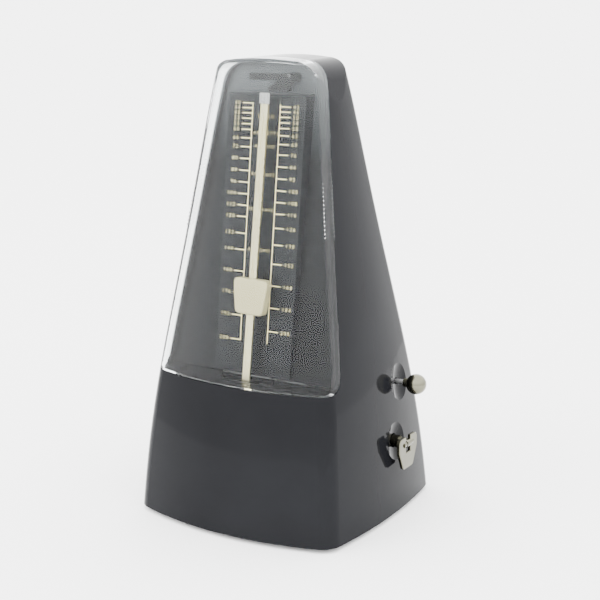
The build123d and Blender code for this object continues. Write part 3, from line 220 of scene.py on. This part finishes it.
# ------------------------------------------------------------------ print on the scale plate
LEFT_MARKS = (40, 44, 48, 52, 56, 60, 66, 72, 80, 88, 96, 104, 112, 120, 132, 144, 160, 176, 192, 208)
RIGHT_MARKS = (42, 46, 50, 54, 58, 63, 69, 76, 84, 92, 100, 108, 116, 126, 138, 152, 168, 184, 200)
TEMPO_WORDS = (
    ("Largo", 50), ("Larghetto", 62), ("Adagio", 71), ("Andante", 90),
    ("Moderato", 114), ("Allegro", 143), ("Presto", 184),
)
LINE_X, TICK_OUT, NUMBER_X, INK = 7.6, 13.2, 14.7, 0.42
INK_PROUD = 0.05
NUMBER_SIZE, WORD_SIZE, THINNING, SPACING = 2.6, 2.2, 0.02, 1.4
BEAT_REACH, BEAT_INERTIA, BEAT_BASE, GRAVITY = 145.17, 9701.6, 65.86, 9810.0  # mm and seconds


def mark_z(bpm):
    """Height of a tempo mark: a compound pendulum's weight must stand this high for the beat."""
    w2 = (math.pi * bpm / 60) ** 2
    root = math.sqrt(GRAVITY * GRAVITY - 4 * w2 * (w2 * BEAT_INERTIA - GRAVITY * BEAT_REACH))
    return BEAT_BASE + (-GRAVITY + root) / (2 * w2)


def on_plate(x, z):
    """Point on the print, which stands INK_PROUD off the plate."""
    return Vector((x, scale_y(z) - INK_PROUD * math.cos(LEAN), z + INK_PROUD * math.sin(LEAN)))


def stroke(bm, x0, x1, z0, z1):
    corners = ((x0, z0), (x1, z0), (x1, z1), (x0, z1))
    bm.faces.new([bm.verts.new(on_plate(x, z) * MM) for x, z in corners])


def letters(bm, text, x, z, size, align):
    curve = bpy.data.curves.new("lettering", "FONT")
    curve.body = text
    curve.size = size
    curve.align_x = align
    curve.align_y = "CENTER"
    curve.resolution_u = 3
    curve.offset = -THINNING * size
    curve.space_character = SPACING
    obj = bpy.data.objects.new("lettering", curve)
    bpy.context.scene.collection.objects.link(obj)
    mesh = bpy.data.meshes.new_from_object(obj.evaluated_get(bpy.context.evaluated_depsgraph_get()))
    turn = Matrix.Rotation(math.pi / 2 - LEAN, 4, "X")
    mesh.transform(Matrix.Translation(on_plate(x, z) * MM) @ turn @ Matrix.Scale(MM, 4))
    bm.from_mesh(mesh)
    bpy.data.objects.remove(obj)
    bpy.data.curves.remove(curve)
    bpy.data.meshes.remove(mesh)


def scale_print():
    bm = bmesh.new()
    low, high = mark_z(208), mark_z(40)
    for side in (-1, 1):
        x = side * LINE_X
        stroke(bm, x - INK / 2, x + INK / 2, low, high)
        for bpm in LEFT_MARKS if side < 0 else RIGHT_MARKS:
            z = mark_z(bpm)
            ends = sorted((x, side * TICK_OUT))
            stroke(bm, ends[0], ends[1], z - INK / 2, z + INK / 2)
            letters(bm, str(bpm), side * NUMBER_X, z, NUMBER_SIZE, "RIGHT" if side < 0 else "LEFT")
    for word, bpm in TEMPO_WORDS:
        letters(bm, word.upper(), 0, mark_z(bpm), WORD_SIZE, "CENTER")
    bmesh.ops.triangulate(bm, faces=bm.faces)
    mesh = bpy.data.meshes.new("scale_print")
    bm.to_mesh(mesh)
    bm.free()
    obj = bpy.data.objects.new("scale_print", mesh)
    bpy.context.scene.collection.objects.link(obj)
    obj.location = PLACE
    mesh.materials.append(M["ink"])
    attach(obj, "case")


scale_print()

# ------------------------------------------------------------------ camera
CAM_AZ, CAM_EL, CAM_DIST, AIM_Z = 32.66, 14.10, 0.650, 0.1
SENSOR, LENS = 36.0, 79.626  # mm
ROLL, SHIFT_X, SHIFT_Y = 0.0154, 0.02525, 0.0074667


def make_camera():
    a, e = math.radians(CAM_AZ), math.radians(CAM_EL)
    back = Vector((math.sin(a) * math.cos(e), -math.cos(a) * math.cos(e), math.sin(e)))
    data = bpy.data.cameras.new("camera")
    cam = bpy.data.objects.new("camera", data)
    bpy.context.scene.collection.objects.link(cam)
    cam.location = PLACE + Vector((0, 0, AIM_Z)) + back * CAM_DIST
    cam.rotation_mode = "QUATERNION"
    turn = (-back).to_track_quat("-Z", "Y").to_matrix().to_4x4() @ Matrix.Rotation(-ROLL, 4, "Z")
    cam.rotation_quaternion = turn.to_quaternion()
    data.sensor_width = SENSOR
    data.lens = LENS
    data.shift_x = SHIFT_X
    data.shift_y = SHIFT_Y
    data.clip_start, data.clip_end = 0.01, 50.0
    bpy.context.scene.camera = cam


make_camera()


# ------------------------------------------------------------------ stage and light
WALL_LIGHT, CEILING_LIGHT = 4.4, 6.2
WALL_UP_TO, CEILING_FROM = 0.12, 0.55  # of the way from the horizon to straight up
FLOOR_DROP = 0.0002


def make_stage():
    """Pale floor that runs far back behind the object, under a bright ceiling and dim walls."""
    a = math.radians(CAM_AZ)
    away, right = Vector((-math.sin(a), math.cos(a), 0)), Vector((math.cos(a), math.sin(a), 0))
    mesh = bpy.data.meshes.new("floor")
    outline = ((-0.7, 0.45), (0.4, 0.45), (14.0, 4.2), (14.0, -4.2), (0.4, -0.45), (-0.7, -0.45))
    corners = [away * t + right * w - Vector((0, 0, FLOOR_DROP)) for t, w in outline]
    mesh.from_pydata(corners, [], [tuple(range(len(corners)))])
    floor = bpy.data.objects.new("floor", mesh)
    bpy.context.scene.collection.objects.link(floor)
    m, t, p = new_material("floor")
    p.inputs["Base Color"].default_value = (0.92, 0.92, 0.92, 1)
    p.inputs["Roughness"].default_value = 0.9
    mesh.materials.append(m)
    world = bpy.data.worlds.new("studio")
    bpy.context.scene.world = world
    world.use_nodes = True
    tree = world.node_tree
    coord = tree.nodes.new("ShaderNodeTexCoord")
    split = tree.nodes.new("ShaderNodeSeparateXYZ")
    tree.links.new(coord.outputs["Generated"], split.inputs["Vector"])
    level = remap(tree, split.outputs["Z"], WALL_LIGHT, CEILING_LIGHT, WALL_UP_TO, CEILING_FROM)
    tree.links.new(level, tree.nodes["Background"].inputs["Strength"])
    tree.nodes["Background"].inputs["Color"].default_value = (1, 1, 1, 1)


def area(name, spot, target, size, power):
    data = bpy.data.lights.new(name, "AREA")
    data.size = size
    data.energy = power
    obj = bpy.data.objects.new(name, data)
    bpy.context.scene.collection.objects.link(obj)
    obj.location = spot
    obj.rotation_mode = "QUATERNION"
    obj.rotation_quaternion = (Vector(target) - Vector(spot)).to_track_quat("-Z", "Y")


make_stage()
area("key_light", (-0.6, -0.9, 0.9), (0, 0, 0.1), 0.5, 8.0)
